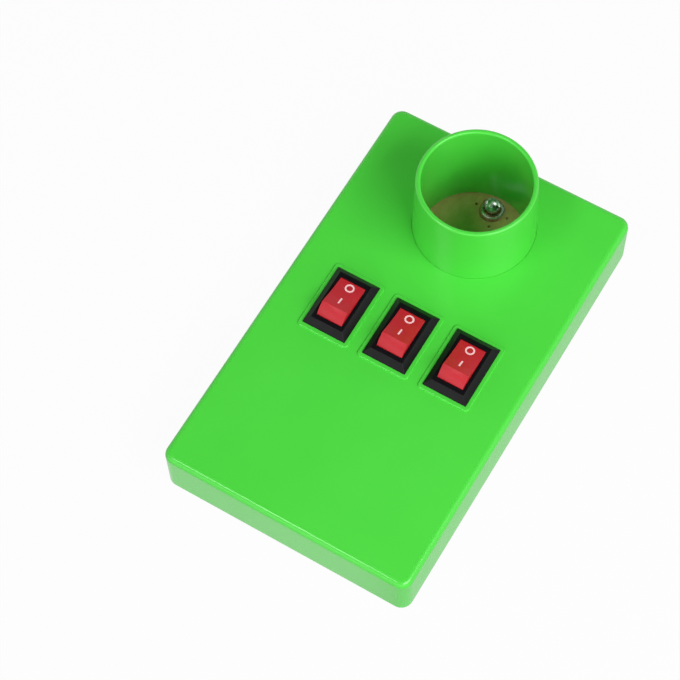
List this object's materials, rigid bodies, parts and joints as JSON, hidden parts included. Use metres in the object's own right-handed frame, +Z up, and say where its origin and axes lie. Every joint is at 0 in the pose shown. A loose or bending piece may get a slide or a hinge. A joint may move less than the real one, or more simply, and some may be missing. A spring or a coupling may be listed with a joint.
{
  "type": "light mixing box",
  "caption": "Flat battery case with a round light hood, lamps behind it that light separately, and a row of rocker switches for showing how coloured lights mix.",
  "frame": {"origin": "centre of the case's underside, on the surface that it rests on", "axes": "+X across the width to the right, +Y along the length towards the hood, +Z up"},
  "size_m": [0.085, 0.142, 0.044],
  "materials": {
    "case_green": "glossy moulded green",
    "cover_green": "semi-gloss moulded green",
    "screw_steel": "bright plated",
    "board_phenolic": "tan paper laminate",
    "solder": "dull tin",
    "lamp_clear": "clear epoxy",
    "tinned_lead": "tinned wire",
    "resistor_body": "lacquered body",
    "holder_black": "matt moulded",
    "cell_jacket": "plain jacket",
    "contact_steel": "plated strip",
    "switch_black": "semi-gloss moulded black",
    "rocker_red": "satin moulded red",
    "mark_white": "printed mark",
    "plunger_nylon": "natural nylon",
    "spring_steel": "spring wire",
    "contact_brass": "stamped strip",
    "wire_red": "insulated wire",
    "wire_black": "insulated wire",
    "wire_yellow": "insulated wire"
  },
  "bodies": {
    "case": {"upper_shell": "case_green", "hood": "case_green", "bottom_cover": "cover_green", "cover_screws": "screw_steel", "lamp_board": "board_phenolic", "board_screws": "screw_steel", "solder_joints": "solder", "lamp_red": "lamp_clear", "lamp_green": "lamp_clear", "lamp_blue": "lamp_clear", "lamp_leads": "tinned_lead", "resistors": "resistor_body", "resistor_leads": "tinned_lead", "switch_1_housing": "switch_black", "switch_1_terminals": "contact_brass", "switch_2_housing": "switch_black", "switch_2_terminals": "contact_brass", "switch_3_housing": "switch_black", "switch_3_terminals": "contact_brass", "cell_holder": "holder_black", "cell_1": "cell_jacket", "cell_2": "cell_jacket", "cell_3": "cell_jacket", "cell_plates": "contact_steel", "cell_springs": "contact_steel", "wire_positive": "wire_red", "wire_negative": "wire_black", "wire_switch_1": "wire_yellow", "wire_switch_2": "wire_yellow", "wire_switch_3": "wire_yellow"},
    "rocker_1": {"switch_1_rocker": "rocker_red", "switch_1_marks": "mark_white", "switch_1_plunger": "plunger_nylon", "switch_1_spring": "spring_steel"},
    "bridge_1": {"switch_1_bridge": "contact_brass"},
    "rocker_2": {"switch_2_rocker": "rocker_red", "switch_2_marks": "mark_white", "switch_2_plunger": "plunger_nylon", "switch_2_spring": "spring_steel"},
    "bridge_2": {"switch_2_bridge": "contact_brass"},
    "rocker_3": {"switch_3_rocker": "rocker_red", "switch_3_marks": "mark_white", "switch_3_plunger": "plunger_nylon", "switch_3_spring": "spring_steel"},
    "bridge_3": {"switch_3_bridge": "contact_brass"}
  },
  "joints": [
    {"name": "rocker_1_press", "type": "hinge", "parent": "case", "child": "rocker_1", "pos_m": [-0.0212, -0.0005, 0.01545], "axis": [1, 0, 0], "range_deg": [0, 30]},
    {"name": "bridge_1_rock", "type": "hinge", "parent": "case", "child": "bridge_1", "pos_m": [-0.0212, -0.0005, 0.0096], "axis": [1, 0, 0], "range_deg": [-16, 0]},
    {"name": "rocker_2_press", "type": "hinge", "parent": "case", "child": "rocker_2", "pos_m": [0, -0.0005, 0.01545], "axis": [1, 0, 0], "range_deg": [0, 30]},
    {"name": "bridge_2_rock", "type": "hinge", "parent": "case", "child": "bridge_2", "pos_m": [0, -0.0005, 0.0096], "axis": [1, 0, 0], "range_deg": [-16, 0]},
    {"name": "rocker_3_press", "type": "hinge", "parent": "case", "child": "rocker_3", "pos_m": [0.0212, -0.0005, 0.01545], "axis": [1, 0, 0], "range_deg": [0, 30]},
    {"name": "bridge_3_rock", "type": "hinge", "parent": "case", "child": "bridge_3", "pos_m": [0.0212, -0.0005, 0.0096], "axis": [1, 0, 0], "range_deg": [-16, 0]}
  ],
  "couplings": [
    {"joint": "bridge_1_rock", "follows": "rocker_1_press", "ratio": -0.53333},
    {"joint": "bridge_2_rock", "follows": "rocker_2_press", "ratio": -0.53333},
    {"joint": "bridge_3_rock", "follows": "rocker_3_press", "ratio": -0.53333}
  ]
}
